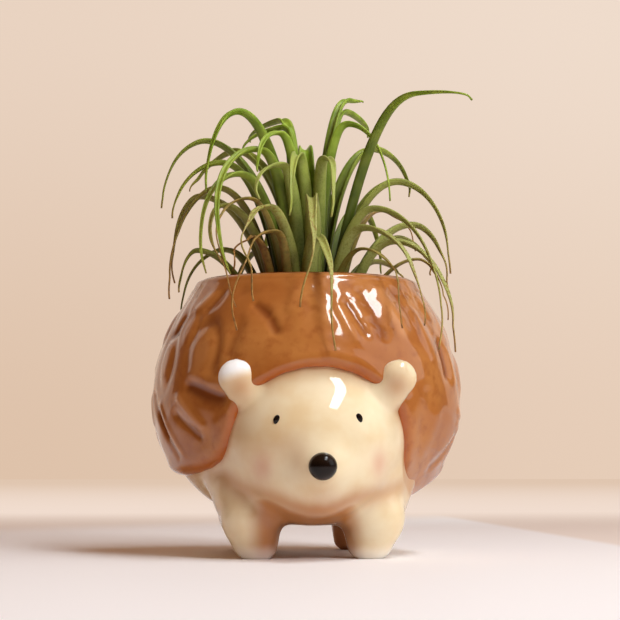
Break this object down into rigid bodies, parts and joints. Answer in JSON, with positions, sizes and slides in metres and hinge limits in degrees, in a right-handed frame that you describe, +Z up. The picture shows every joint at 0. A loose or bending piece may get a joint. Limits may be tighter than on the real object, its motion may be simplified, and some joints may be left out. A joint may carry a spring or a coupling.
{
  "type": "animal shaped planter",
  "caption": "Small glazed ceramic hedgehog with an open back as a pot, with a lift-out air plant standing in it.",
  "frame": {"origin": "middle of the whole object's box, on the plane that the soles stand on", "axes": "+Z up, the animal faces -Y, +X is to the right of someone who looks at its face"},
  "size_m": [0.08, 0.0906, 0.1193],
  "materials": {
    "brown_glaze": "gloss",
    "cream_glaze": "gloss",
    "black_glaze": "gloss",
    "stem_bark": "matte",
    "green_leaf": "satin",
    "dry_leaf": "matte"
  },
  "bodies": {
    "planter": {"bowl_base": "cream_glaze", "bowl_belly": "cream_glaze", "bowl_neck": "cream_glaze", "ear_left": "cream_glaze", "ear_right": "cream_glaze", "eye_left": "black_glaze", "eye_right": "black_glaze", "head": "cream_glaze", "leg_front_left": "cream_glaze", "leg_front_right": "cream_glaze", "leg_rear_left": "cream_glaze", "leg_rear_right": "cream_glaze", "nose": "black_glaze", "quill_coat": "brown_glaze"},
    "air_plant": {"leaf_01": "green_leaf", "leaf_02": "green_leaf", "leaf_03": "green_leaf", "leaf_04": "dry_leaf", "leaf_05": "dry_leaf", "leaf_06": "green_leaf", "leaf_07": "green_leaf", "leaf_08": "green_leaf", "leaf_09": "green_leaf", "leaf_10": "green_leaf", "leaf_11": "green_leaf", "leaf_12": "green_leaf", "leaf_13": "green_leaf", "leaf_14": "green_leaf", "leaf_15": "green_leaf", "leaf_16": "green_leaf", "leaf_17": "green_leaf", "leaf_18": "green_leaf", "leaf_19": "dry_leaf", "leaf_20": "green_leaf", "leaf_21": "green_leaf", "leaf_22": "green_leaf", "leaf_23": "green_leaf", "leaf_24": "dry_leaf", "leaf_25": "green_leaf", "leaf_26": "green_leaf", "leaf_27": "green_leaf", "leaf_28": "green_leaf", "leaf_29": "green_leaf", "leaf_30": "green_leaf", "leaf_31": "green_leaf", "leaf_32": "green_leaf", "leaf_33": "green_leaf", "leaf_34": "green_leaf", "leaf_35": "green_leaf", "leaf_36": "green_leaf", "leaf_37": "green_leaf", "leaf_38": "green_leaf", "leaf_39": "green_leaf", "leaf_40": "green_leaf", "leaf_41": "green_leaf", "leaf_42": "green_leaf", "leaf_43": "green_leaf", "leaf_44": "green_leaf", "leaf_45": "green_leaf", "plant_stem": "stem_bark"}
  },
  "joints": [
    {"name": "plant_lift", "type": "slide", "parent": "planter", "child": "air_plant", "axis": [0, 0, 1], "range_m": [0, 0.0587]}
  ]
}
